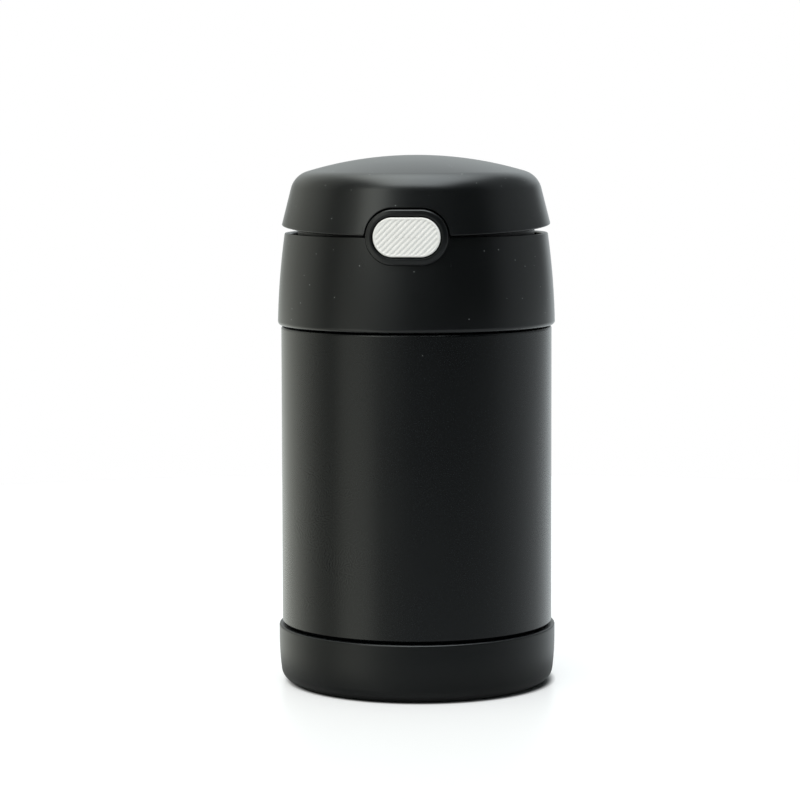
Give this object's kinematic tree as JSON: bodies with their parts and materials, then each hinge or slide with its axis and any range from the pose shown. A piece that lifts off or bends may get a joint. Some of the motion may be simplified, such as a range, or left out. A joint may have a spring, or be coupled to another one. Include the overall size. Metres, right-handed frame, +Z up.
{
  "type": "insulated food jar",
  "caption": "Double-walled insulated food jar with a screw-off lid, a push-button cap hinged at the back and a folding spoon under the cap.",
  "frame": {"origin": "centre of the base, on the surface the jar stands on", "axes": "+Z up along the jar's axis; the button faces -Y and the cap's hinge is at +Y"},
  "size_m": [0.092, 0.0921, 0.1748],
  "materials": {
    "powder_coat": "fine matte powder coat, black",
    "liner_steel": "satin drawn stainless steel",
    "solder": "dull solder",
    "getter_metal": "dark sintered metal",
    "cup_plastic": "satin moulded plastic, black",
    "silicone": "translucent grey silicone",
    "stopper_plastic": "moulded polypropylene, black",
    "foam": "expanded foam, cream",
    "stopper_disc": "moulded polypropylene, grey",
    "lid_plastic": "fine satin moulded plastic, black",
    "tray_plastic": "moulded plastic, black",
    "pin_steel": "drawn steel rod",
    "spring_steel": "spring wire",
    "spoon_steel": "polished stainless steel",
    "button_plastic": "satin moulded plastic, white",
    "slider_plastic": "moulded acetal, off-white"
  },
  "bodies": {
    "vessel": {"outer_shell": "powder_coat", "inner_liner": "liner_steel", "shell_base": "liner_steel", "vacuum_seal": "solder", "getter": "getter_metal", "base_cup": "cup_plastic"},
    "gasket": {"lid_gasket": "silicone"},
    "lid": {"stopper": "stopper_plastic", "stopper_foam": "foam", "stopper_base": "stopper_disc", "lid_collar": "lid_plastic", "spoon_tray": "tray_plastic", "button_bezel": "lid_plastic", "hinge_pin": "pin_steel", "hinge_spring": "spring_steel", "spoon_bowl": "spoon_steel", "spoon_handle": "spoon_steel", "spoon_pin": "pin_steel"},
    "cap": {"cap_shell": "lid_plastic", "cap_liner": "tray_plastic"},
    "push_button": {"button": "button_plastic", "latch_slider": "slider_plastic", "button_spring": "spring_steel"}
  },
  "joints": [
    {"name": "lid_lift", "type": "slide", "parent": "vessel", "child": "gasket", "axis": [0, 0, 1], "range_m": [0, 0.0241]},
    {"name": "lid_turn", "type": "hinge", "parent": "gasket", "child": "lid", "pos_m": [0, 0, 0.14], "axis": [0, 0, 1], "range_deg": [0, 1080]},
    {"name": "cap_open", "type": "hinge", "parent": "lid", "child": "cap", "pos_m": [0, 0.04275, 0.1515], "axis": [-1, 0, 0], "range_deg": [0, 110], "deforming": ["hinge_spring"]},
    {"name": "button_press", "type": "slide", "parent": "lid", "child": "push_button", "axis": [0, 1, 0], "range_m": [0, 0.002], "stiffness_N_per_m": 800, "springref_m": -0.002, "deforming": ["button_spring"]}
  ],
  "couplings": [
    {"joint": "lid_lift", "follows": "lid_turn", "m_per_rad": 0.0012732}
  ]
}
